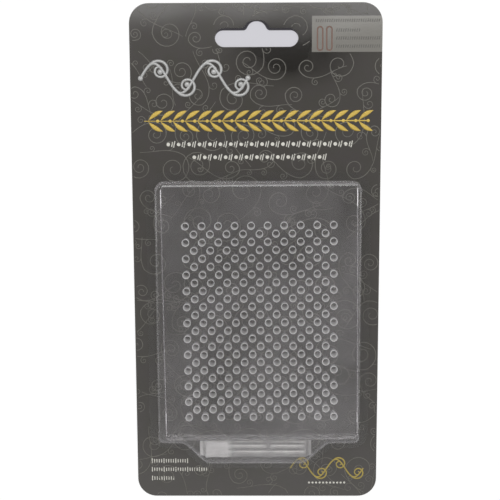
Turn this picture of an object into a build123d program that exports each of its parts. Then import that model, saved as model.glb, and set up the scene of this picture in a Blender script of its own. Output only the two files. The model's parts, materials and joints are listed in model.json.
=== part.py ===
"""A wire jig in its hanging blister card: a clear drilled plate and a pouch of ten pegs,
closed under a clear formed film on a stiff printed board.

The pack lies on its back. The origin is the middle of the card's back, +Y runs up the card
to the hang slot, +Z comes out of the printed face. All lengths are in millimetres."""

import os
from math import radians, sqrt, tan
from build123d import *

os.makedirs("parts", exist_ok=True)

# Card: two boards glued face to face, with rounded corners
card_width = 96.0
card_length = 195.4
card_corner = 7.5
back_board = 0.45
front_board = 0.45

# Hang slot: a round-ended bar with a hump on its upper edge. The front board's cut is the
# same at the ends and along the bottom, and stands back from the other one elsewhere.
slot_width = 31.7
slot_height = 6.2
slot_bottom_below_card_top = 16.48
slot_shift = 0.35
hump_foot_width = 8.4
hump_top_width = 4.6
hump_rise = 3.4
hump_foot_radius = 1.5
hump_top_radius = 3.6
front_slot_setback = 0.85
front_hump_setback = 0.35

# Jig plate: acrylic sheet, rows of holes that alternate between ten and nine
hole_pitch = 6.35
hole_diameter = 2.5
hole_columns = 10
hole_rows = 13
plate_thickness = 6.35
plate_side_margin = 9.525
plate_top_margin = 15.35
plate_bottom_margin = 9.525
plate_corner = 1.6
plate_edge_break = 0.25

# Where the plate lies on the card: a little askew, because it is loose in the blister
plate_centre_x = 1.54
plate_above_card_foot = 25.5
plate_turn = 0.49

# Blister: one film, with its room round the plate and above it
film = 0.3
room_left = 2.6
room_right = 1.1
room_top = 1.2
room_bottom = 1.5
room_above = 0.6
wall_draft = 5.0
blister_top_corner = 4.2
blister_bottom_corner = 2.6
roof_radius = 1.0
flange_width = 3.4

# Pocket below the plate, where the pouch lies
pocket_depth = 8.3
pocket_floor_width = 39.4
pocket_floor_shift = -1.4
pocket_left_run = 8.7
pocket_right_run = 9.3
pocket_mouth_radius = 3.0
pocket_floor_radius = 4.5

# Pegs
peg_diameter = 2.38
peg_length = 12.7
peg_end_chamfer = 0.25
peg_gap = 0.04

# Pouch: thin film, pinched flat into a seal at each end
bag_film = 0.1
bag_slack = 0.05
bag_side_slack = 0.3
bag_body_length = 40.2
bag_seal_length = 1.8
bag_seal_width = 3.8
bag_corner = 1.0
bag_centre_x = -0.7
bag_below_plate = 0.3

# Where the two columns of pegs lie along the pouch, from its middle to each peg's left end
left_column_start = -9.2
right_column_start = 6.5
peg_stagger = 1.5
left_stagger_shares = (0.3, 0.7, 0.1, 1.0, 0.0)
right_stagger_shares = (0.1, -0.4, 0.4, 0.15, 0.0)

# Worked-out sizes
card_thickness = back_board + front_board
slot_bottom = card_length / 2 - slot_bottom_below_card_top

plate_width = (hole_columns - 1) * hole_pitch + 2 * plate_side_margin
plate_length = (hole_rows - 1) * hole_pitch + plate_top_margin + plate_bottom_margin
plate_centre_y = plate_above_card_foot + plate_length / 2 - card_length / 2
lattice_shift = (plate_bottom_margin - plate_top_margin) / 2

blister_left = plate_centre_x - plate_width / 2 - room_left - film
blister_right = plate_centre_x + plate_width / 2 + room_right + film
blister_top = plate_centre_y + plate_length / 2 + room_top + film
blister_bottom = plate_centre_y - plate_length / 2 - room_bottom - film
blister_height = plate_thickness + room_above + film
pocket_bottom = blister_bottom - pocket_depth
blister_middle = (blister_left + blister_right) / 2
pocket_floor_left = blister_middle + pocket_floor_shift - pocket_floor_width / 2
pocket_floor_right = blister_middle + pocket_floor_shift + pocket_floor_width / 2

peg_radius = peg_diameter / 2
peg_pitch = peg_diameter + peg_gap
layer_rise = peg_pitch * sqrt(3) / 2
bag_inner_width = 2 * peg_pitch + peg_diameter + 2 * bag_side_slack
bag_width = bag_inner_width + 2 * bag_film
bag_height = layer_rise + peg_diameter + 2 * bag_slack + 2 * bag_film
bag_shoulder = peg_diameter
bag_top_width = 2 * peg_pitch
bag_left = bag_centre_x - bag_body_length / 2
plate_edge_drop = (plate_centre_x - bag_left + bag_seal_length) * tan(radians(plate_turn))
plate_edge_y = plate_centre_y - plate_length / 2 - plate_edge_drop
bag_centre_y = plate_edge_y - bag_below_plate - bag_width / 2


# Card boards. Each is cut with its own slot: bar height, hump width and hump top differ.
back_slot = (slot_height, hump_foot_width, hump_top_width, slot_height + hump_rise)
front_slot = (
    slot_height + front_slot_setback,
    hump_foot_width + 2 * front_slot_setback,
    hump_top_width + 2 * front_slot_setback,
    slot_height + hump_rise + front_hump_setback,
)
boards = [
    ("back_card", 0, back_board, back_slot),
    ("front_card", back_board, front_board, front_slot),
]
for board_name, board_z, board_thickness, cut in boards:
    bar_height, foot_width, top_width, hump_top = cut
    hump_corners = [
        (slot_shift + foot_width / 2, slot_bottom + bar_height / 2, 0),
        (slot_shift + foot_width / 2, slot_bottom + bar_height, 0),
        (slot_shift + top_width / 2, slot_bottom + hump_top, hump_top_radius),
        (slot_shift - top_width / 2, slot_bottom + hump_top, hump_top_radius),
        (slot_shift - foot_width / 2, slot_bottom + bar_height, 0),
        (slot_shift - foot_width / 2, slot_bottom + bar_height / 2, 0),
    ]
    with BuildPart() as board:
        with BuildSketch(Plane.XY.offset(board_z)):
            RectangleRounded(card_width, card_length, card_corner)
            with BuildSketch(mode=Mode.SUBTRACT) as hang_slot:
                with Locations((slot_shift, slot_bottom + bar_height / 2)):
                    SlotOverall(slot_width, bar_height)
                with BuildLine():
                    FilletPolyline(
                        *[(x, y) for x, y, radius in hump_corners],
                        radius=[radius for x, y, radius in hump_corners],
                        close=True,
                    )
                make_face()
                feet = (
                    hang_slot.vertices()
                    .filter_by_position(Axis.X, slot_shift - foot_width, slot_shift + foot_width)
                    .group_by(Axis.Y)[0]
                )
                fillet(feet, hump_foot_radius)
        extrude(amount=board_thickness)
    board.part.label = board_name
    export_step(board.part, f"parts/{board_name}.step")


# Blister shell: its outline where the walls meet the flange, with the radius of each corner
blister_corners = [
    (blister_right, blister_top, blister_top_corner),
    (blister_left, blister_top, blister_top_corner),
    (blister_left, blister_bottom, blister_bottom_corner),
    (pocket_floor_left - pocket_left_run, blister_bottom, pocket_mouth_radius),
    (pocket_floor_left, pocket_bottom, pocket_floor_radius),
    (pocket_floor_right, pocket_bottom, pocket_floor_radius),
    (pocket_floor_right + pocket_right_run, blister_bottom, pocket_mouth_radius),
    (blister_right, blister_bottom, blister_bottom_corner),
]
blister_points = [(x, y) for x, y, radius in blister_corners]
blister_radii = [radius for x, y, radius in blister_corners]

# The hollow under the film, cut from the shell below
with BuildPart() as blister_hollow:
    with BuildSketch(Plane.XY.offset(card_thickness)):
        with BuildLine():
            FilletPolyline(*blister_points, radius=blister_radii, close=True)
        make_face()
        offset(amount=-film, kind=Kind.INTERSECTION)
    extrude(amount=blister_height - film, taper=wall_draft)
    fillet(blister_hollow.faces().sort_by(Axis.Z)[-1].edges(), roof_radius - film)

with BuildPart() as blister_shell:
    with BuildSketch(Plane.XY.offset(card_thickness)):
        with BuildLine():
            FilletPolyline(*blister_points, radius=blister_radii, close=True)
        make_face()
    extrude(amount=blister_height, taper=wall_draft)
    fillet(blister_shell.faces().sort_by(Axis.Z)[-1].edges(), roof_radius)
    with BuildSketch(Plane.XY.offset(card_thickness)):
        with BuildLine():
            FilletPolyline(*blister_points, radius=blister_radii, close=True)
        make_face()
        offset(amount=flange_width)
    extrude(amount=film)
    add(blister_hollow.part, mode=Mode.SUBTRACT)
blister_shell.part.label = "blister_shell"
export_step(blister_shell.part, "parts/blister_shell.step")


# Jig plate: full rows of ten, with rows of nine set in the middle of their squares
plate_plane = Plane(origin=(plate_centre_x, plate_centre_y, card_thickness)).rotated((0, 0, plate_turn))
with BuildPart() as jig_plate:
    with BuildSketch(plate_plane):
        RectangleRounded(plate_width, plate_length, plate_corner)
    extrude(amount=plate_thickness)
    rims = jig_plate.faces().filter_by(Axis.Z).edges()
    chamfer(rims, plate_edge_break)
    with BuildSketch(plate_plane):
        with Locations((0, lattice_shift)):
            with GridLocations(hole_pitch, hole_pitch, hole_columns, hole_rows):
                Circle(hole_diameter / 2)
            with GridLocations(hole_pitch, hole_pitch, hole_columns - 1, hole_rows - 1):
                Circle(hole_diameter / 2)
    extrude(amount=plate_thickness, mode=Mode.SUBTRACT)
jig_plate.part.label = "jig_plate"
export_step(jig_plate.part, "parts/jig_plate.step")


# Pouch: a closed tube of film that the pegs fill at one side, three below and two above
bag_floor = card_thickness
bag_section = [
    (bag_centre_y - bag_width / 2, bag_floor),
    (bag_centre_y + bag_width / 2, bag_floor),
    (bag_centre_y + bag_width / 2, bag_floor + bag_shoulder),
    (bag_centre_y + bag_top_width / 2, bag_floor + bag_height),
    (bag_centre_y - bag_top_width / 2, bag_floor + bag_height),
    (bag_centre_y - bag_width / 2, bag_floor + bag_shoulder),
]

with BuildPart() as peg_bag:
    with BuildSketch(Plane.YZ.offset(bag_left)):
        with BuildLine():
            FilletPolyline(*bag_section, radius=bag_corner, close=True)
        make_face()
    extrude(amount=bag_body_length)
    with BuildSketch(Plane.YZ.offset(bag_left - bag_seal_length)):
        with Locations((bag_centre_y, bag_floor + bag_height / 2)):
            Rectangle(bag_seal_width, 2 * bag_film)
    extrude(amount=bag_body_length + 2 * bag_seal_length)
    with BuildSketch(Plane.YZ.offset(bag_left + bag_film)):
        with BuildLine():
            FilletPolyline(*bag_section, radius=bag_corner, close=True)
        make_face()
        offset(amount=-bag_film)
    extrude(amount=bag_body_length - 2 * bag_film, mode=Mode.SUBTRACT)
peg_bag.part.label = "peg_bag"
export_step(peg_bag.part, "parts/peg_bag.step")


# Pegs: the middle of each place in a column, across the pouch and up from its floor
lower_z = bag_floor + bag_film + bag_slack + peg_radius
upper_z = lower_z + layer_rise
column_places = [
    (-peg_pitch, lower_z),
    (0, lower_z),
    (peg_pitch, lower_z),
    (-peg_pitch / 2, upper_z),
    (peg_pitch / 2, upper_z),
]
columns = [
    (left_column_start, left_stagger_shares),
    (right_column_start, right_stagger_shares),
]
peg_number = 0
for column_start, stagger_shares in columns:
    for (across, height), share in zip(column_places, stagger_shares):
        peg_number += 1
        peg_left = bag_centre_x + column_start + share * peg_stagger
        with BuildPart() as peg:
            with BuildSketch(Plane.YZ.offset(peg_left)):
                with Locations((bag_centre_y + across, height)):
                    Circle(peg_radius)
            extrude(amount=peg_length)
            chamfer(peg.edges().filter_by(GeomType.CIRCLE), peg_end_chamfer)
        peg.part.label = f"peg_{peg_number:02d}"
        export_step(peg.part, f"parts/peg_{peg_number:02d}.step")
        print(peg.part.label, "from x", round(peg_left, 2), "to", round(peg_left + peg_length, 2))
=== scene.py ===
# %% [markdown]
# # A wire jig in its blister card
#
# The object is a clear drilled plate and a pouch of ten short steel pegs, shut under a clear
# formed film on a dark printed card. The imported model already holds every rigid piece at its
# real size and place, so this lesson dresses it: it gives each piece its finish, prints the
# card, and makes the crinkled pouch that a plain solid can't stand for.

# %% The frame, the units and the size of the object
import json
import random
from math import atan2, cos, hypot, pi, radians, sin

import bmesh
import bpy
from mathutils import Matrix, Vector, noise


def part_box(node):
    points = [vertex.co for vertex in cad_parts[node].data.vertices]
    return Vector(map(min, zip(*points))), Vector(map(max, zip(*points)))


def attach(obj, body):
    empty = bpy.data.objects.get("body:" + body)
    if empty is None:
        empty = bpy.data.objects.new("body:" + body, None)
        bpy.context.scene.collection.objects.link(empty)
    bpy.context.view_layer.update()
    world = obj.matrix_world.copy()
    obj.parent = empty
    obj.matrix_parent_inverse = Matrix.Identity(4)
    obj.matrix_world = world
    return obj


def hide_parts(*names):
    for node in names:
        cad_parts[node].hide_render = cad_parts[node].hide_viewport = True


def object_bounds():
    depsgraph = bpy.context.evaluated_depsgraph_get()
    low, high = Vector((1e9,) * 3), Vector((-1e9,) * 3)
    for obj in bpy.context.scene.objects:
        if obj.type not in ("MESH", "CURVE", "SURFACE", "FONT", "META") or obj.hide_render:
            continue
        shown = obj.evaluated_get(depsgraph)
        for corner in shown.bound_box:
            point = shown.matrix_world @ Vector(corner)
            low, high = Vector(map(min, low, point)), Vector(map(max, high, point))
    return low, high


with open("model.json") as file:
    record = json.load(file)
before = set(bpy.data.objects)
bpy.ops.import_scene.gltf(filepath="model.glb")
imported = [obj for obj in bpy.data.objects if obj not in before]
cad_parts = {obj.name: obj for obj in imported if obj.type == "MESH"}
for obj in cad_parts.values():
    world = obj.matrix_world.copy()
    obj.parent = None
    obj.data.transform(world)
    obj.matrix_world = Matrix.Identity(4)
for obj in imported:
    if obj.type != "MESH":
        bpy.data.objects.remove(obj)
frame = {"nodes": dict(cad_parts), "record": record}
cad_low, cad_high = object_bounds()
MM = 0.001
print("the packed object is", [round(side / MM, 2) for side in cad_high - cad_low], "mm")

# %% [markdown]
# ## The camera
#
# A camera can be placed by eye or worked out. Here it was worked out: the holes of the plate
# are a regular grid, so the photograph of them says where the lens stood and how long it is.
# It hangs almost straight over the card, nearer to its top than to its middle.

# %% The camera
FRAME_PIXELS = 500
FOCAL_PIXELS = 1147.9
lens_place = Vector((2.43, 76.17, 443.24)) * MM
lens_turn = (radians(-9.3755), radians(0.6259), radians(-0.1185))

camera_data = bpy.data.cameras.new("studio_camera")
camera_data.sensor_width = 36
camera_data.lens = camera_data.sensor_width * FOCAL_PIXELS / FRAME_PIXELS
camera = bpy.data.objects.new("studio_camera", camera_data)
camera.location = lens_place
camera.rotation_mode = "ZYX"
camera.rotation_euler = lens_turn
bpy.context.scene.collection.objects.link(camera)
bpy.context.scene.camera = camera
bpy.context.scene.view_settings.view_transform = "Standard"
print("lens", round(camera_data.lens, 2), "mm")

# %% [markdown]
# ## Helpers
#
# Colours are written the way a designer writes them, as sRGB hex, and one function turns
# them to the linear light that Blender counts in. The others add nodes to a material, so
# that each finish below reads as a short recipe. Every input of a node takes a number, a hex
# code or the socket of another node. All patterns hang on the object's own coordinates, so a
# finish stays in place on a piece that moves.

# %% Helpers for colours and nodes
def linear(code):
    """The linear colour of an sRGB hex code such as "#C8AF4B"."""
    shares = [int(code[i:i + 2], 16) / 255 for i in (1, 3, 5)]
    light = [s / 12.92 if s <= 0.04045 else ((s + 0.055) / 1.055) ** 2.4 for s in shares]
    return (*light, 1.0)


def add_node(tree, kind, inputs=(), **settings):
    """Adds a node: settings are its own choices, and inputs fill its sockets or link them."""
    made = tree.nodes.new(kind)
    for name, value in settings.items():
        setattr(made, name, value)
    for name, value in dict(inputs).items():
        if isinstance(value, bpy.types.NodeSocket):
            tree.links.new(value, made.inputs[name])
        else:
            made.inputs[name].default_value = linear(value) if isinstance(value, str) else value
    return made


def calc(tree, kind, first, second=0.0):
    """One step of arithmetic: the socket of its result."""
    return add_node(tree, "ShaderNodeMath", {0: first, 1: second}, operation=kind).outputs[0]


def product(tree, *factors):
    """All the factors multiplied: the socket of the result."""
    result = factors[0]
    for factor in factors[1:]:
        result = calc(tree, "MULTIPLY", result, factor)
    return result


def rescaled(tree, value, start, end, low=0.0, high=1.0):
    """How far a value has come from start to end, as a number from low to high: its socket."""
    limits = {"Value": value, "From Min": start, "From Max": end, "To Min": low, "To Max": high}
    return add_node(tree, "ShaderNodeMapRange", limits).outputs[0]


def split(tree, vector):
    """The sockets X, Y and Z of a vector."""
    return add_node(tree, "ShaderNodeSeparateXYZ", {"Vector": vector}).outputs


def in_rectangle(tree, spot, left, right, bottom, top):
    """1 where a spot, seen from above, lies in a rectangle, and 0 elsewhere: its socket."""
    limits = (("X", "GREATER_THAN", left), ("X", "LESS_THAN", right),
              ("Y", "GREATER_THAN", bottom), ("Y", "LESS_THAN", top))
    return product(tree, *(calc(tree, test, spot[axis], edge) for axis, test, edge in limits))


def noise_of(tree, place, size, detail=2.0, roughness=0.5):
    """Noise with features of that size: the socket of its height."""
    inputs = {"Vector": place, "Scale": 1 / size, "Detail": detail, "Roughness": roughness}
    return add_node(tree, "ShaderNodeTexNoise", inputs).outputs["Fac"]


def bumped(tree, height, strength, depth, below=None):
    """The normals of a surface with that relief, on top of the normals below: their socket."""
    inputs = {"Height": height, "Strength": strength, "Distance": depth}
    if below is not None:
        inputs["Normal"] = below
    return add_node(tree, "ShaderNodeBump", inputs).outputs[0]


def colour_mix(tree, share, first, second):
    """Two colours mixed, with that share of the second: the socket of the result."""
    inputs = {"Factor": share, "A": first, "B": second}
    return add_node(tree, "ShaderNodeMix", inputs, data_type="RGBA").outputs["Result"]


def bsdf(tree, kind, inputs):
    """A surface of one kind, such as Diffuse: the socket of its light."""
    return add_node(tree, "ShaderNodeBsdf" + kind, inputs).outputs[0]


def surface_mix(tree, share, first, second):
    """Two surfaces mixed, with that share of the second: the socket of the result."""
    return add_node(tree, "ShaderNodeMixShader", {0: share, 1: first, 2: second}).outputs[0]


def chalk(tree, code, glow_share):
    """A surface that scatters light back and lets a share of it glow through: its socket."""
    back = bsdf(tree, "Diffuse", {"Color": code})
    return surface_mix(tree, glow_share, back, bsdf(tree, "Translucent", {"Color": code}))


# %% [markdown]
# Five more start and end a material, turn a shape to a mesh, and put both on a piece.

# %% Helpers for materials and pieces
def new_material(name):
    """An empty material: returns it, its node tree and the socket of places on the object."""
    material = bpy.data.materials.new(name)
    material.use_nodes = True
    tree = material.node_tree
    tree.nodes.clear()
    return material, tree, add_node(tree, "ShaderNodeTexCoord").outputs["Object"]


def finished(material, surface):
    """Sends a surface to the material's output: returns the material."""
    add_node(material.node_tree, "ShaderNodeOutputMaterial", {"Surface": surface})
    return material


def dress(node, material):
    """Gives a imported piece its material."""
    piece = frame["nodes"][node]
    piece.data.materials.clear()
    piece.data.materials.append(material)


def mesh_from(shape, name):
    """Turns a finished bmesh to a mesh."""
    mesh = bpy.data.meshes.new(name)
    shape.to_mesh(mesh)
    shape.free()
    return mesh


def add_piece(name, mesh, material, body):
    """Makes a new piece of a finished mesh, which moves with that body."""
    mesh.materials.clear()
    mesh.materials.append(material)
    piece = bpy.data.objects.new(name, mesh)
    bpy.context.scene.collection.objects.link(piece)
    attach(piece, body)
    print(name, "has", len(mesh.polygons), "faces")
    return piece


# %% [markdown]
# ## The card's boards
#
# The card is two boards glued face to face. The cut edges show the pale paper inside, and
# the back is plain. At the hang slot the front board is cut a little larger, so a thin rim
# of the back board's inner face shows round the opening; that face is painted dark, as
# painted shade under the front board's edge. One material can hold both of the back board's
# finishes: the direction that a face looks in says which it gets.

# %% Boards
def paper_board(name, face_colour):
    """Pressed paperboard: pale fibres with soft flecks, dull, and a face of another colour."""
    material, tree, place = new_material(name)
    fibres = noise_of(tree, place, 0.9 * MM, detail=4.0, roughness=0.6)
    paper = colour_mix(tree, fibres, "#B5B2AA", "#D2CFC7")
    facing = split(tree, add_node(tree, "ShaderNodeNewGeometry").outputs["Normal"])
    looks_up = calc(tree, "GREATER_THAN", facing["Z"], 0.5)
    colour = colour_mix(tree, looks_up, paper, face_colour)
    grain = bumped(tree, fibres, 0.25, 0.02 * MM)
    board = {"Base Color": colour, "Roughness": 0.75, "Normal": grain}
    return finished(material, bsdf(tree, "Principled", board))


# The back board's upward face is painted dark: painted shade under the front board's edge round the
# slot.
dress("back_card", paper_board("plain_board_painted_shade_inside", "#221F26"))
dress("front_card", paper_board("pale_board_core", "#3A3A36"))
print("boards dressed")

# %% [markdown]
# ## The printed face
#
# The front is printed dark warm grey and varnished, so it mirrors the studio softly. Ink and
# varnish are a skin of their own, one hundredth of a millimetre thick. Making that skin as a
# piece keeps the board's pale edges, and gives the clear pieces that lie on the card
# something to lie in, so that no two faces share one place. The skin is cut from the front
# board's own top face, so it fits the card's corners and its slot exactly.

# %% The printed skin's mesh
SKIN = 0.01 * MM
card_low, card_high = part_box("front_card")
card_top = card_high.z
ink_level = card_top + SKIN

skin_shape = bmesh.new()
skin_shape.from_mesh(frame["nodes"]["front_card"].data)
bmesh.ops.remove_doubles(skin_shape, verts=skin_shape.verts, dist=0.001 * MM)
not_the_top = [face for face in skin_shape.faces if face.normal.z < 0.9]
bmesh.ops.delete(skin_shape, geom=not_the_top, context="FACES")
lifted = bmesh.ops.extrude_face_region(skin_shape, geom=skin_shape.faces[:], use_keep_orig=True)
raised = [part for part in lifted["geom"] if isinstance(part, bmesh.types.BMVert)]
bmesh.ops.translate(skin_shape, verts=raised, vec=(0, 0, SKIN))
bmesh.ops.recalc_face_normals(skin_shape, faces=skin_shape.faces)
skin_mesh = mesh_from(skin_shape, "print_skin")

# %% [markdown]
# The varnish is never flat. A slow wave in the board bends the mirrored lights, and a fine
# orange peel softens them. The label at the card's right edge is printed in the same pass,
# so it is a lighter field in this material and not a piece. A torn dark patch round the slot
# is no print: it is a painted reflection, the dark camera mirrored in the varnish, painted
# into the ink's colour.

# %% The printed skin's material
label_left, label_bottom, label_top = 21.3 * MM, 79.25 * MM, 92.74 * MM
past_the_edge = card_high.x + MM
# Where the painted reflection lies: a torn dark patch round the slot that stands in for the camera
# mirrored in the varnish.
painted_reflection_middle = Vector((13.0, 80.0, 0.0)) * MM
painted_reflection_reach = Vector((38.0, 19.0, 19.0)) * MM
PAINTED_REFLECTION_STRENGTH = 4.0


def varnished_print():
    """Dark ink under gloss varnish: mirrors about 4 %, slightly blurred by the board's wave, with a
    painted reflection round the slot.
    """
    material, tree, place = new_material("varnished_print")
    mottle = noise_of(tree, place, 7.0 * MM, detail=3.0)
    ink = colour_mix(tree, mottle, "#3B3A34", "#403C3C")
    # Painted reflection: the ink darkens in a torn patch round the slot, in place of the dark
    # camera mirrored in the varnish.
    in_painted_reflection = add_node(
        tree, "ShaderNodeMapping",
        {"Vector": place, "Location": painted_reflection_middle, "Scale": painted_reflection_reach}, vector_type="TEXTURE",
    )
    painted_reflection = add_node(
        tree, "ShaderNodeTexGradient", {"Vector": in_painted_reflection.outputs[0]},
        gradient_type="QUADRATIC_SPHERE",
    )
    torn_reflection = noise_of(tree, place, 13 * MM, detail=3.0)
    painted_reflection_share = product(tree, painted_reflection.outputs["Fac"], torn_reflection, PAINTED_REFLECTION_STRENGTH)
    ink = colour_mix(tree, calc(tree, "MINIMUM", painted_reflection_share, 1.0), ink, "#1C1A17")
    on_label = in_rectangle(
        tree, split(tree, place), label_left, past_the_edge, label_bottom, label_top,
    )
    colour = colour_mix(tree, on_label, ink, "#6F6D68")
    wave = noise_of(tree, place, 38 * MM, detail=1.0, roughness=0.4)
    slow = bumped(tree, wave, 1.0, 0.35 * MM)
    fine = bumped(tree, noise_of(tree, place, 0.7 * MM), 0.12, 0.02 * MM, below=slow)
    varnish = {"Base Color": colour, "Roughness": 0.11, "Normal": fine}
    return finished(material, bsdf(tree, "Principled", varnish))


add_piece("print_skin", skin_mesh, varnished_print(), "card")

# %% [markdown]
# ## Inked strokes
#
# Every ornament on the card is a stroke of ink. A stroke could be painted by a texture, but
# lines under half a millimetre stay crisp only as geometry. So each is a poly curve with a
# round bevel, turned to a mesh and pressed almost flat: a low closed ridge with soft edges,
# which catches the light as thick ink does.

# %% Strokes of ink
def print_on_card(name, mesh, material):
    """Adds a smooth mesh to the card's print."""
    for face in mesh.polygons:
        face.use_smooth = True
    add_piece(name, mesh, material, "card")


def ink_strokes(name, strokes, half_width, relief, material):
    """Presses strokes, lists of (x, y, share of the width), flat on the card's ink."""
    curve = bpy.data.curves.new(name, "CURVE")
    curve.dimensions = "3D"
    curve.twist_mode = "Z_UP"
    curve.bevel_depth = half_width
    curve.bevel_resolution = 1
    curve.use_fill_caps = True
    for stroke in strokes:
        spline = curve.splines.new("POLY")
        spline.points.add(len(stroke) - 1)
        for point, (x, y, share) in zip(spline.points, stroke):
            point.co = (x, y, 0, 1)
            point.radius = share
    tube = bpy.data.objects.new(name + "_tube", curve)
    bpy.context.scene.collection.objects.link(tube)
    bpy.context.view_layer.update()
    seen = tube.evaluated_get(bpy.context.evaluated_depsgraph_get())
    mesh = bpy.data.meshes.new_from_object(seen)
    bpy.data.objects.remove(tube)
    mesh.transform(Matrix.Diagonal((1, 1, relief / half_width, 1)))
    mesh.transform(Matrix.Translation((0, 0, ink_level)))
    mesh.name = name
    print_on_card(name, mesh, material)


def curl(start, heading, radius, hand, turns, points=34):
    """A stroke's end that winds in: from start, along heading, turning left (1) or right (-1)."""
    centre_x = start[0] - radius * sin(heading) * hand
    centre_y = start[1] + radius * cos(heading) * hand
    first = heading - hand * pi / 2
    path = []
    for step in range(points):
        share = step / (points - 1)
        angle = first + hand * share * turns * 2 * pi
        reach = radius * (1 - 0.86 * share ** 0.8)
        path.append((centre_x + reach * cos(angle), centre_y + reach * sin(angle)))
    return path


def stem(start, heading, length, bend_in, bend_out, points=22):
    """A stroke that bends at a rate that changes evenly, in turns a metre: path, end heading."""
    x, y = start
    path = [(x, y)]
    for step in range(points):
        share = (step + 0.5) / points
        heading += (bend_in + (bend_out - bend_in) * share) * 2 * pi * length / points
        x += cos(heading) * length / points
        y += sin(heading) * length / points
        path.append((x, y))
    return path, heading


def tapered(path, start_share, end_share):
    """The same path with a width that changes evenly along it."""
    last = max(len(path) - 1, 1)
    return [
        (x, y, start_share + (end_share - start_share) * step / last)
        for step, (x, y) in enumerate(path)
    ]


# %% [markdown]
# ## The vine
#
# A faint vine of scrolls runs over the whole card, also under the blister. A tiled pattern
# would show its seams, so the vine grows: a staggered grid of large curls, and from each a
# stem that wanders off and carries two smaller curls. Seeded chance moves every one a little.
# Strokes stop at the card's edge, at the slot and at the label, and a stretch of fewer than
# four points is left out as a speck.

# %% The vine's strokes
CARD_CORNER = 7.5 * MM
EDGE = 0.35 * MM
FEWEST_POINTS = 4
CELL = 12.4 * MM
WANDER = 0.2
CURL_RADII = (2.6, 3.6, 4.6, 6.2)
BUD_PLACES = (0.28, 0.66)
slot_bar = (-16.4 * MM, 17.1 * MM, 80.9 * MM, 88.7 * MM)
slot_hump = (-5.4 * MM, 6.1 * MM, 88.7 * MM, 92.3 * MM)


def on_print(x, y):
    """True where the vine is printed."""
    over_x = max(abs(x) - (card_high.x - CARD_CORNER), 0)
    over_y = max(abs(y) - (card_high.y - CARD_CORNER), 0)
    if hypot(over_x, over_y) > CARD_CORNER - EDGE:
        return False
    for left, right, bottom, top in (slot_bar, slot_hump):
        if left < x < right and bottom < y < top:
            return False
    return not (x > label_left - EDGE and label_bottom - EDGE < y < label_top + EDGE)


def printed_runs(stroke):
    """The stretches of a stroke that lie on the print."""
    runs = [[]]
    for point in stroke:
        if on_print(point[0], point[1]):
            runs[-1].append(point)
        else:
            runs.append([])
    return [run for run in runs if len(run) >= FEWEST_POINTS]


grow = random.Random(11)
vine = []
for row in range(-8, 9):
    for column in range(-4, 5):
        middle_x = (column + 0.5 * (row % 2) - 0.25 + grow.uniform(-WANDER, WANDER)) * CELL
        middle_y = (row + grow.uniform(-WANDER, WANDER)) * CELL
        radius = grow.choice(CURL_RADII) * grow.uniform(0.88, 1.12) * MM
        hand = grow.choice((-1, 1))
        around = grow.uniform(0, 2 * pi)
        join = (middle_x + radius * cos(around), middle_y + radius * sin(around))
        facing = around + hand * pi / 2
        bend = 1 / (2 * pi * radius)
        length = grow.uniform(12, 24) * MM
        trunk, _ = stem(join, facing + pi, length, -hand * bend * 0.8, hand * bend * 0.3)
        trunk.reverse()
        main = tapered(trunk, 0.6, 1.0)
        main += tapered(curl(join, facing, radius, hand, grow.uniform(1.3, 2.0)), 1.0, 0.75)[1:]
        vine += printed_runs(main)
        for share in BUD_PLACES:
            index = int(share * (len(trunk) - 1))
            here, ahead = trunk[index], trunk[index + 1]
            outward = atan2(ahead[1] - here[1], ahead[0] - here[0])
            small = grow.uniform(1.2, 2.3) * MM
            bud = curl(here, outward, small, -hand, grow.uniform(1.2, 1.7), 26)
            vine += printed_runs(tapered(bud, 0.8, 0.6))

print(len(vine), "strokes in the vine")

# %% [markdown]
# All the inks share one recipe. The vine's own is only a little lighter than the ground, and
# glossy.

# %% The inks, and the vine printed
def printing_ink(name, code, drift_code, drift_share, rough, metal=0.0):
    """Screen ink: a colour that drifts a little towards another one across the sheet."""
    material, tree, place = new_material(name)
    drift = product(tree, noise_of(tree, place, 5.0 * MM), drift_share)
    colour = colour_mix(tree, drift, code, drift_code)
    ink = {"Base Color": colour, "Roughness": rough, "Metallic": metal}
    return finished(material, bsdf(tree, "Principled", ink))


vine_ink = printing_ink("grey_vine_ink", "#605E57", "#474540", 0.9, rough=0.3)
ink_strokes("vine_print", vine, 0.18 * MM, 0.012 * MM, vine_ink)

# %% [markdown]
# ## The silver scrolls
#
# The upper left of the card has a silver ornament that looks like bent wire, with a light
# upper edge, and balls at its turns. It is a running scroll: one wave, and in each of its
# bends a branch that winds in. Real relief gives it the light edge and the dark one.

# %% Silver scrolls
BEND_STEPS = 20


def running_scroll(left, right, middle, rise, bends, reach):
    """A wave with a branch curled in each bend: returns its strokes and the curls' centres."""
    bend_length = (right - left) / bends
    wave = []
    for step in range(bends * BEND_STEPS + 1):
        share = step / BEND_STEPS
        wave.append((left + share * bend_length, middle + rise * sin(pi * share)))
    strokes, centres = [tapered(wave, 0.9, 0.9)], []
    for number in range(bends):
        side = -1 if number % 2 else 1
        slope = side * atan2(rise * pi, bend_length)
        root = (left + number * bend_length, middle)
        branch, facing = stem(root, slope, reach * 1.3, 0, -side * 0.12 / reach)
        wound = curl(branch[-1], facing, reach * 0.62, -side, 1.55)
        strokes.append(tapered(branch, 0.8, 1.0) + tapered(wound, 1.0, 0.55)[1:])
        centres.append(wound[-1])
    return strokes, centres


def ink_dots(name, dots, relief, material):
    """Round dots of ink, each (x, y, radius), low domes on the card."""
    shape = bmesh.new()
    for x, y, radius in dots:
        place = Matrix.Translation((x, y, ink_level)) @ Matrix.Diagonal((radius, radius, relief, 1))
        bmesh.ops.create_uvsphere(shape, u_segments=20, v_segments=10, radius=1, matrix=place)
    print_on_card(name, mesh_from(shape, name), material)


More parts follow.
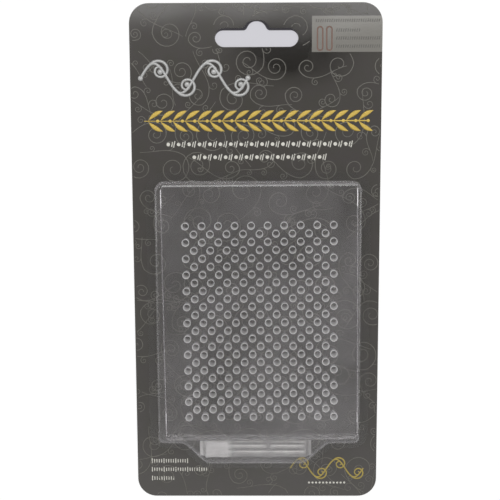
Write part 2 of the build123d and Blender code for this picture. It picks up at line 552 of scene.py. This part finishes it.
silver = printing_ink("silver_foil", "#A9A9A8", "#7C7C7B", 0.5, rough=0.42, metal=0.4)
silver_left, silver_right, silver_middle = -44.0 * MM, -3.0 * MM, 69.6 * MM
scrolls, turns = running_scroll(silver_left, silver_right, silver_middle, 5.6 * MM, 4, 6.4 * MM)
ink_strokes("silver_scrolls", scrolls, 0.62 * MM, 0.42 * MM, silver)
silver_balls = [(x, y, 1.05 * MM) for x, y in turns]
silver_balls += [(x, silver_middle, 1.0 * MM) for x in (silver_left, silver_right)]
ink_dots("silver_balls", silver_balls, 0.55 * MM, silver)

# %% [markdown]
# ## The gold garland
#
# Below them a garland in gold ink crosses the card, the old ornament of leaves in pairs
# along a stem, with a berry between one pair and the next. A leaf is one stroke whose width
# swells and shrinks again.

# %% Gold garland
gold = printing_ink("gold_ink", "#C3A74B", "#A48A3C", 0.8, rough=0.34, metal=0.25)
gold_left, gold_right, gold_middle = -41.4 * MM, 43.4 * MM, 53.3 * MM
LEAF_PAIRS = 18
LEAF_LENGTH = 7.0 * MM
LEAF_SPREAD = radians(54)
LEAF_BEND = 0.1 / LEAF_LENGTH
BERRY_PLACE = 0.78


def leaf(root, heading, bend):
    """A pointed leaf: a stroke that is widest a little past its middle."""
    path, _ = stem(root, heading, LEAF_LENGTH, bend, bend, 14)
    last = len(path) - 1
    return [(x, y, max(sin(pi * (step / last) ** 1.2), 0.02)) for step, (x, y) in enumerate(path)]


pair_gap = (gold_right - gold_left - LEAF_LENGTH * cos(LEAF_SPREAD)) / (LEAF_PAIRS - 1)
leaves, berries = [], []
for number in range(LEAF_PAIRS):
    root = (gold_left + number * pair_gap, gold_middle)
    for side in (1, -1):
        leaves.append(leaf(root, side * LEAF_SPREAD, -side * LEAF_BEND))
    berries.append((root[0] + BERRY_PLACE * pair_gap, gold_middle, 0.62 * MM))
ink_strokes("gold_leaves", leaves, 0.9 * MM, 0.03 * MM, gold)
ink_dots("gold_berries", berries, 0.035 * MM, gold)
gold_stem = [(gold_left - 1.6 * MM, gold_middle, 0.5), (gold_right, gold_middle, 1)]
ink_strokes("gold_stem", [gold_stem], 0.26 * MM, 0.025 * MM, gold)

# %% [markdown]
# ## The small light marks
#
# Two rows of white bead-and-reel ornament stand under the garland, three short rows of ticks
# in the lower left corner, and a row of beads in the lower right one. Their places are in
# millimetres, as (height on the card, left end, right end).

# %% Small light marks
REEL_ROWS = ((44.4, -35.0, 37.3), (39.4, -25.0, 27.3))
REPEAT = 4.0
REELS = ((1.5, 0.95), (2.3, 1.25))
SLANT = 0.22
TICK_ROWS = ((-82.9, -42.2, -27.4), (-86.5, -42.2, -19.6), (-90.2, -42.2, -33.0))
TICK_GAP = 0.95
BEAD_COUNT = 11


def mark(x, y, lean, tall, share):
    """A short straight stroke about (x, y), all in millimetres."""
    ends = ((x - lean, y - tall), (x + lean, y + tall))
    return [(end_x * MM, end_y * MM, share) for end_x, end_y in ends]


white = printing_ink("white_ink", "#C4C2BA", "#A3A199", 0.5, rough=0.4)
marks, beads = [], []
for row_y, row_left, row_right in REEL_ROWS:
    units = round((row_right - row_left) / REPEAT)
    step = (row_right - row_left) / units
    for number in range(units):
        x = row_left + (number + 0.3) * step
        beads.append((x * MM, row_y * MM, 0.72 * MM))
        marks += [mark(x + offset, row_y, SLANT * tall, tall, 0.8) for offset, tall in REELS]
for row_y, row_left, row_right in TICK_ROWS:
    x = row_left
    number = 0
    while x < row_right:
        marks.append(mark(x, row_y, 0, 1.0 if number % 5 == 0 else 0.72, 0.75))
        x += TICK_GAP
        number += 1
for number in range(BEAD_COUNT):
    beads.append(((21.0 + 1.42 * number) * MM, -92.1 * MM, 0.42 * MM))
ink_strokes("white_marks", marks, 0.26 * MM, 0.012 * MM, white)
ink_dots("white_beads", beads, 0.014 * MM, white)

# %% [markdown]
# ## The gold flourish
#
# The lower right corner has a small running scroll in thin gold, which the blister's flange
# partly covers.

# %% Gold flourish
thin_gold = printing_ink("thin_gold_ink", "#AB9747", "#6F6337", 0.9, rough=0.34, metal=0.15)
flourish, _ = running_scroll(13.4 * MM, 42.8 * MM, -86.0 * MM, 3.7 * MM, 4, 4.4 * MM)
ink_strokes("gold_flourish", flourish, 0.33 * MM, 0.02 * MM, thin_gold)

# %% [markdown]
# ## The label's picture
#
# The light label shows what is in the pack: two pegs in brown outline, upright with round
# ends, and four rows of thin slanted dashes. These too are in millimetres.

# %% Label marks
PEG_MIDDLES, PEG_LEVEL = (24.4, 27.9), 84.3
PEG_HALF_LENGTH = 3.4
RING_STEPS = 32
DASH_ROWS = ((91.0, 22.8, 46.8), (87.4, 30.6, 39.5), (84.4, 30.6, 46.8), (81.4, 30.6, 46.8))
DASH_GAP, DASH_LEAN = 0.85, 0.125

brown = printing_ink("brown_gold_ink", "#5E3F34", "#6B5347", 0.6, rough=0.4)
outline = []
for middle in PEG_MIDDLES:
    ring = []
    for step in range(RING_STEPS + 1):
        angle = 2 * pi * step / RING_STEPS
        end = PEG_HALF_LENGTH if sin(angle) > 0 else -PEG_HALF_LENGTH
        ring.append(((middle + cos(angle)) * MM, (PEG_LEVEL + end + sin(angle)) * MM, 1))
    outline.append(ring + ring[:1])
ink_strokes("label_pegs", outline, 0.26 * MM, 0.012 * MM, brown)

dim = printing_ink("dim_ink", "#45433F", "#575550", 0.5, rough=0.4)
dashes = []
for row_y, row_left, row_right in DASH_ROWS:
    x = row_left
    while x < row_right:
        dashes.append(mark(x + DASH_LEAN, row_y, DASH_LEAN, 0.6, 0.7))
        x += DASH_GAP
ink_strokes("label_dashes", dashes, 0.24 * MM, 0.01 * MM, dim)

# %% [markdown]
# ## The blister
#
# The blister is a clear film, drawn over a mould while hot. A thin film doesn't bend what
# lies behind it, so it isn't made as glass: it lets light straight through, and its two
# faces mirror more as they turn away. Where it was drawn up from the flat flange it has a
# little haze, and its walls, seen edge on, look through so much of it that they turn milky.
# To light that has already been scattered, and to the lamps' shadows, it is simply clear.
# That costs nothing to the eye and keeps the render free of specks.

# %% Blister film
FLANGE_TOP = card_top + 0.3 * MM
DRAWN_BY = FLANGE_TOP + 0.6 * MM
LEAST_HAZE, MOST_HAZE = 0.004, 0.035
MOST_MIRROR = 0.12
EDGE_MILK, EDGE_POWER = 0.28, 5.0


def lets_lamps_through(tree, surface):
    """The same surface, but clear to shadow rays and to scattered ones: its socket."""
    ray = add_node(tree, "ShaderNodeLightPath").outputs
    passing = calc(tree, "MAXIMUM", ray["Is Shadow Ray"], ray["Is Diffuse Ray"])
    return surface_mix(tree, passing, surface, bsdf(tree, "Transparent", {"Color": "#F4F4F4"}))


def formed_film():
    """Clear rigid film: a faint mirror face on, more at the walls, and a cloudy breath of haze."""
    material, tree, place = new_material("clear_formed_film")
    cloud = noise_of(tree, place, 24 * MM, detail=5.0, roughness=0.62)
    thin_haze = rescaled(tree, cloud, 0.35, 0.7, LEAST_HAZE, MOST_HAZE)
    turned = add_node(tree, "ShaderNodeLayerWeight", {"Blend": 0.5}).outputs["Facing"]
    edge_milk = product(tree, calc(tree, "POWER", turned, EDGE_POWER), EDGE_MILK)
    drawn_up = rescaled(tree, split(tree, place)["Z"], FLANGE_TOP, DRAWN_BY)
    haze_share = product(tree, calc(tree, "ADD", edge_milk, thin_haze), drawn_up)
    through = bsdf(tree, "Transparent", {"Color": "#FBFBFB"})
    body = surface_mix(tree, haze_share, through, bsdf(tree, "Diffuse", {"Color": "#EAE6EA"}))
    ripple = bumped(tree, noise_of(tree, place, 16 * MM), 0.8, 0.12 * MM)
    mirror = bsdf(tree, "Glossy", {"Roughness": 0.1, "Color": "#FFFFFF", "Normal": ripple})
    share = add_node(tree, "ShaderNodeFresnel", {"IOR": 1.38, "Normal": ripple}).outputs[0]
    both = surface_mix(tree, calc(tree, "MINIMUM", share, MOST_MIRROR), body, mirror)
    return finished(material, lets_lamps_through(tree, both))


dress("blister_shell", formed_film())

# %% [markdown]
# ## The plate
#
# The plate is clear acrylic, thick enough to bend what is seen through it, so it is real
# glass to Blender, with acrylic's index of 1.49. The drill left the walls of its holes
# frosted, most near the mouth, and a fine burr round their rims, and these are what shows as
# pale rings. The outer edges were polished with less care at the plate's head than at its
# other sides. A face's direction tells a wall from the polished faces. The rims are found by
# arithmetic: the holes stand on two square grids, so the distance to the nearest grid point
# says how far a spot is from a hole's middle.

# %% Plate
HOLE_PITCH = 6.35 * MM
HOLE_RADIUS = 1.25 * MM
LATTICE_X, LATTICE_Y = 4.75 * HOLE_PITCH, 6.25 * HOLE_PITCH
HEAD_START = 7.8 * HOLE_PITCH
DEEP_FROST, MOUTH_FROST = 0.2, 0.85
BURR, BURR_FROST = 0.2 * MM, 0.7
EDGE_FROST, HEAD_FROST = 0.1, 0.5
PLATE_TURN = radians(0.49)
grid_middle = Vector((1.54, -24.575, 0)) * MM
plate_low, plate_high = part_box("jig_plate")


def grid_distance(tree, spot, shift_x, shift_y):
    """How far a spot lies from the nearest point of a square grid that is moved by the shifts."""
    squares = []
    for axis, shift in (("X", shift_x), ("Y", shift_y)):
        gap = calc(tree, "PINGPONG", calc(tree, "ADD", spot[axis], shift), HOLE_PITCH / 2)
        squares.append(calc(tree, "POWER", gap, 2.0))
    return calc(tree, "SQRT", calc(tree, "ADD", *squares))


def drilled_acrylic():
    """Cast acrylic: clear, polished faces, and drilled walls that scatter the light."""
    material, tree, place = new_material("drilled_acrylic")
    on_grid = add_node(
        tree, "ShaderNodeMapping",
        {"Vector": place, "Location": grid_middle, "Rotation": (0, 0, PLATE_TURN)},
        vector_type="TEXTURE",
    )
    spot = split(tree, on_grid.outputs[0])
    on_lattice = in_rectangle(tree, spot, -LATTICE_X, LATTICE_X, -LATTICE_Y, LATTICE_Y)
    facing = split(tree, add_node(tree, "ShaderNodeNewGeometry").outputs["Normal"])
    upright = calc(tree, "LESS_THAN", calc(tree, "ABSOLUTE", facing["Z"]), 0.5)

    is_wall = product(tree, upright, on_lattice)
    depth = rescaled(tree, spot["Z"], plate_low.z, plate_high.z, DEEP_FROST, MOUTH_FROST)
    wall_frost = product(tree, is_wall, depth)

    full_rows = grid_distance(tree, spot, HOLE_PITCH / 2, 0.0)
    short_rows = grid_distance(tree, spot, 0.0, HOLE_PITCH / 2)
    from_hole = calc(tree, "MINIMUM", full_rows, short_rows)
    at_rim = calc(tree, "LESS_THAN", from_hole, HOLE_RADIUS + BURR)
    lies_flat = calc(tree, "SUBTRACT", 1.0, upright)
    burr_frost = product(tree, at_rim, on_lattice, lies_flat, BURR_FROST)

    is_outside = calc(tree, "SUBTRACT", upright, is_wall)
    at_head = calc(tree, "GREATER_THAN", spot["Y"], HEAD_START)
    edge = calc(tree, "MAXIMUM", product(tree, at_head, HEAD_FROST), EDGE_FROST)
    edge_frost = product(tree, is_outside, edge)

    drilled = calc(tree, "MAXIMUM", wall_frost, burr_frost)
    frosted = calc(tree, "MAXIMUM", drilled, edge_frost)
    clear = bsdf(tree, "Glass", {"Color": "#FCFBFC", "Roughness": 0.0, "IOR": 1.49})
    frost = chalk(tree, "#EDEBEC", product(tree, upright, 0.5))
    both = surface_mix(tree, frosted, clear, frost)
    return finished(material, lets_lamps_through(tree, both))


dress("jig_plate", drilled_acrylic())

# %% [markdown]
# ## The pegs
#
# The pegs are ground steel rod. Grinding leaves fine rings round them, so a bump of fine
# waves along the rod breaks their mirror across and not along. A wave texture of scale 1
# already repeats a little over three times in a unit, which the scale has to count in.

# %% Pegs
RING_GAP = 0.35 * MM
WAVES_PER_UNIT = 3.2


def ground_steel():
    """Centreless-ground rod: grey metal, half dull, with fine rings."""
    material, tree, place = new_material("ground_steel")
    rings = add_node(
        tree, "ShaderNodeTexWave",
        {"Vector": place, "Scale": 1 / RING_GAP / WAVES_PER_UNIT, "Distortion": 1.5, "Detail": 2.0},
        bands_direction="X",
    )
    relief = bumped(tree, rings.outputs["Fac"], 0.2, 0.01 * MM)
    metal = {"Base Color": "#A8A6A3", "Metallic": 1.0, "Roughness": 0.34, "Normal": relief}
    return finished(material, bsdf(tree, "Principled", metal))


steel = ground_steel()
peg_names = sorted(name for name in frame["nodes"] if name.startswith("peg_") and name != "peg_bag")
for name in peg_names:
    dress(name, steel)
print(len(peg_names), "pegs dressed")

# %% [markdown]
# ## The pouch's film
#
# The pouch is thin milky film, sealed at both ends. Where it is slack, round its empty
# third, more of it lies in the way of the light, so it is milkier there.

# %% Pouch film
EMPTY_END = -10.6 * MM
EMPTY_MILK, FULL_MILK = 0.8, 0.43


def milky_film():
    """Low-density polythene: milky, soft, lets half the light through."""
    material, tree, place = new_material("milky_polythene")
    cloud = noise_of(tree, place, 3.5 * MM, detail=3.0)
    folds = rescaled(tree, cloud, 0.3, 0.7, -0.05, 0.07)
    along = split(tree, place)["X"]
    milk = rescaled(tree, along, EMPTY_END - MM, EMPTY_END + MM, EMPTY_MILK, FULL_MILK)
    through = bsdf(tree, "Transparent", {"Color": "#F3F2F2"})
    skin = chalk(tree, "#E9E6E6", 0.4)
    body = surface_mix(tree, calc(tree, "ADD", milk, folds), through, skin)
    share = add_node(tree, "ShaderNodeFresnel", {"IOR": 1.5}).outputs[0]
    gloss = bsdf(tree, "Glossy", {"Roughness": 0.22})
    return finished(material, surface_mix(tree, share, body, gloss))


# %% [markdown]
# ## The pouch's shape
#
# Most of the pouch rests on the pegs and sinks in between them, and its left third holds
# only air. A tube of rings is pulled along its length: each ring is a low arch on a flat
# foot. Noise then folds the skin, most near the seals, and it is let down between the pegs.
# Last, every spot that a peg would touch, at rest or anywhere on its slide, is moved out of
# its way, which draws the rods in the film as on the real one.

# %% Pouch
bag_low, bag_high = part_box("peg_bag")
AROUND, STATIONS = 88, 124
LEFT_SEAL, RIGHT_SEAL = 0.3 * MM, 0.6 * MM
SEAL_FLAT, SEAL_THICK = 0.8 * MM, 0.16 * MM
LEFT_RISE, RIGHT_RISE = 2.0 * MM, 1.5 * MM
ARCH = 3.6
FOOT_GAP = 0.02 * MM
SEALED_WIDTH, OPEN_GAIN = 0.97, 0.02
first_x, last_x = bag_low.x - LEFT_SEAL, bag_high.x + RIGHT_SEAL
foot = ink_level + FOOT_GAP

CREASE_SIZE, CREASE_STRETCH = 2.2 * MM, Vector((0.35, 1.6, 1.0))
CREASE, SEAL_CREASE, SEAL_REACH = 0.14, 0.3, 11 * MM
CRINKLE_SIZE, CRINKLE = 1.1 * MM, 0.07
DRAWN_IN = 0.1 * MM
LOOSE_ABOVE, LOOSE_FROM_END = 1.5 * MM, 1.2 * MM
SINK, SINK_START, SINK_END = 0.75 * MM, 1.0 * MM, 3.0 * MM
FILM_GAP, END_GAP = 0.09 * MM, 0.42 * MM


def smooth_step(value, start, end):
    """Rises smoothly from 0 at start to 1 at end."""
    share = min(max((value - start) / (end - start), 0), 1)
    return share * share * (3 - 2 * share)


def tube_of_rings(shape):
    """A tube of joined rings that all still lie in one place: returns the rings in order."""
    ring = bmesh.ops.create_circle(shape, segments=AROUND, radius=1)["verts"]
    rings = [ring]
    edges = list({edge for vert in ring for edge in vert.link_edges})
    for _ in range(STATIONS - 1):
        made = bmesh.ops.extrude_edge_only(shape, edges=edges)["geom"]
        ring = [part for part in made if isinstance(part, bmesh.types.BMVert)]
        edges = [part for part in made if isinstance(part, bmesh.types.BMEdge)]
        edges = [edge for edge in edges if all(vert in ring for vert in edge.verts)]
        rings.append(ring)
    return rings


def arch_ring(ring, x):
    """Sets a round ring at x, as a low arch on a flat foot that is flatter near a seal."""
    opened = smooth_step(x - first_x, SEAL_FLAT, SEAL_FLAT + LEFT_RISE)
    opened *= smooth_step(last_x - x, SEAL_FLAT, SEAL_FLAT + RIGHT_RISE)
    tall = (bag_high.z - foot - SEAL_THICK) * opened + SEAL_THICK
    wide = (bag_high.y - bag_low.y) * (SEALED_WIDTH + OPEN_GAIN * opened)
    middle_y = (bag_low.y + bag_high.y) / 2
    for vert in ring:
        angle = atan2(vert.co.y, vert.co.x)
        across = cos(angle)
        rise = (1 - min(abs(across), 1) ** ARCH) ** (1 / ARCH) if angle > 0 else 0
        vert.co = (x, middle_y + wide / 2 * across, foot + tall * rise)


def crease(vert):
    """Folds the skin at a vertex, less where the film lies flat or is sealed."""
    from_end = min(vert.co.x - first_x, last_x - vert.co.x)
    near_seal = max(1 - from_end / SEAL_REACH, 0)
    stretched = vert.co * CREASE_STRETCH / CREASE_SIZE
    fold = noise.noise(stretched) * (CREASE + SEAL_CREASE * near_seal) * MM
    crinkle = noise.noise(vert.co / CRINKLE_SIZE) * CRINKLE * MM
    room = min(max((vert.co.z - foot) / LOOSE_ABOVE, 0), 1) * min(from_end / LOOSE_FROM_END, 1)
    vert.co += vert.normal * (fold + crinkle - DRAWN_IN) * room


def peg_paths():
    """Each peg's slide: first and last x, then its axis's y and z, then its radius."""
    paths = []
    for joint in frame["record"]["behaviour"]["joints"]:
        if joint["child"].startswith("rod_"):
            low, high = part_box(joint["child"].replace("rod", "peg"))
            back, forth = joint["range_m"]
            middle = (low + high) / 2
            paths.append((low.x + back, high.x + forth, middle.y, middle.z, high.z - middle.z))
    return paths


def clear_of_pegs(place, paths):
    """The place, moved straight out of the way of every peg that passes there."""
    for first, last, y, z, radius in paths * 2:
        aside = Vector((0, place.y - y, place.z - z))
        if first - END_GAP < place.x < last + END_GAP and aside.length < radius + FILM_GAP:
            place = place + aside.normalized() * (radius + FILM_GAP - aside.length)
    return place


def pouch_mesh():
    """The pouch as rings drawn along its length, shut at both ends and laid on its pegs."""
    shape = bmesh.new()
    rings = tube_of_rings(shape)
    for number, ring in enumerate(rings):
        arch_ring(ring, first_x + number / (STATIONS - 1) * (last_x - first_x))
    for ring in (rings[0], rings[-1]):
        bmesh.ops.contextual_create(shape, geom=ring)
    bmesh.ops.recalc_face_normals(shape, faces=shape.faces)
    for vert in shape.verts:
        crease(vert)
    paths = peg_paths()
    for vert in shape.verts:
        if vert.normal.z > 0.2:
            sink = SINK * smooth_step(vert.co.z - foot, SINK_START, SINK_END)
            vert.co.z -= sink * smooth_step(vert.co.x, EMPTY_END - 1.5 * MM, EMPTY_END)
        vert.co = clear_of_pegs(vert.co, paths)
    mesh = mesh_from(shape, "pouch_film")
    for face in mesh.polygons:
        face.use_smooth = True
    return mesh


pouch = add_piece("pouch_film", pouch_mesh(), milky_film(), "bag")
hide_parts("peg_bag")

# %% [markdown]
# ## Floor and light
#
# The card lies on a white floor. The floor's own white comes partly from its colour as the
# camera sees it, so the picture's ground is white without more light on the card. What the
# slot lets see of it is painted a little grey, a painted shadow of the card. One large soft
# light hangs beyond the card's top edge, where the varnish mirrors it, two strips at the
# sides draw the film's edges, and a pale sky, darker overhead, fills in the rest.

# %% Floor
FLOOR_DROP = 0.05 * MM
FLOOR_RADIUS = 3.0
OWN_WHITE = 0.8


def white_floor():
    """Seamless paper: white to the eye, it still takes the card's shadow, and it has a painted
    shadow under the slot.
    """
    material, tree, place = new_material("seamless_paper")
    left, right, bottom, _ = slot_bar
    _, _, _, top = slot_hump
    # Painted shadow: the floor under the slot is painted grey in place of the card's shade.
    painted_shadow_under_slot = in_rectangle(tree, split(tree, place), left, right, bottom, top)
    tone = colour_mix(tree, painted_shadow_under_slot, "#FFFFFF", "#BCBBC3")
    white = add_node(tree, "ShaderNodeEmission", {"Color": tone, "Strength": 1.0}).outputs[0]
    ray = add_node(tree, "ShaderNodeLightPath").outputs
    seen = calc(tree, "MAXIMUM", ray["Is Camera Ray"], ray["Is Glossy Ray"])
    seen = calc(tree, "MAXIMUM", seen, ray["Is Transmission Ray"])
    paper = bsdf(tree, "Diffuse", {"Color": "#F4F4F4"})
    return finished(material, surface_mix(tree, product(tree, seen, OWN_WHITE), paper, white))


ground = bmesh.new()
bmesh.ops.create_circle(
    ground, cap_ends=True, segments=64, radius=FLOOR_RADIUS,
    matrix=Matrix.Translation((0, 0, cad_low.z - FLOOR_DROP)),
)
ground_mesh = mesh_from(ground, "floor")
ground_mesh.materials.append(white_floor())
floor = bpy.data.objects.new("floor", ground_mesh)
bpy.context.scene.collection.objects.link(floor)

# %% Lights
def soft_light(name, place, size, aim, radiance):
    """A flat soft light of size (width, height) that shines from place to aim."""
    data = bpy.data.lights.new(name, "AREA")
    data.shape = "RECTANGLE"
    data.size, data.size_y = size
    data.energy = radiance * pi * size[0] * size[1]
    light = bpy.data.objects.new(name, data)
    light.location = place
    light.rotation_euler = (Vector(aim) - Vector(place)).to_track_quat("-Z", "Y").to_euler()
    light.visible_camera = False
    bpy.context.scene.collection.objects.link(light)


soft_light("top_softbox", (0, 0.415, 1.0), (0.8, 0.575), (0, 0.415, 0), 3.5)
soft_light("left_strip", (-0.75, 0.0, 0.42), (0.25, 0.9), (0, 0, 0), 1.1)
soft_light("right_strip", (0.75, 0.0, 0.42), (0.25, 0.9), (0, 0, 0), 1.0)

# %% [markdown]
# The sky's tone depends only on the height, from 0 at the horizon to 1 overhead. The ramp
# sorts its stops as they move, so their tones are set when all of them are in place.

# %% Sky
SKY_STOPS = (
    (0.0, 1.0), (0.3, 0.75), (0.55, 0.65), (0.75, 0.9), (0.91, 1.15), (0.935, 1.05),
    (0.948, 0.6), (0.975, 0.5), (0.99, 0.38), (0.997, 0.32), (0.999, 0.08),
)

world = bpy.data.worlds.new("studio_sky")
world.use_nodes = True
sky = world.node_tree
sky.nodes.clear()
height = split(sky, add_node(sky, "ShaderNodeTexCoord").outputs["Generated"])["Z"]
tones = add_node(sky, "ShaderNodeValToRGB", {"Fac": height})
ramp = tones.color_ramp
while len(ramp.elements) < len(SKY_STOPS):
    ramp.elements.new(0.5)
for element, (position, _) in zip(ramp.elements, SKY_STOPS):
    element.position = position
for element, (_, tone) in zip(ramp.elements, SKY_STOPS):
    element.color = (tone, tone, tone, 1)
background = add_node(sky, "ShaderNodeBackground", {"Color": tones.outputs["Color"]})
add_node(sky, "ShaderNodeOutputWorld", {"Surface": background.outputs[0]})
bpy.context.scene.world = world
print("lit")
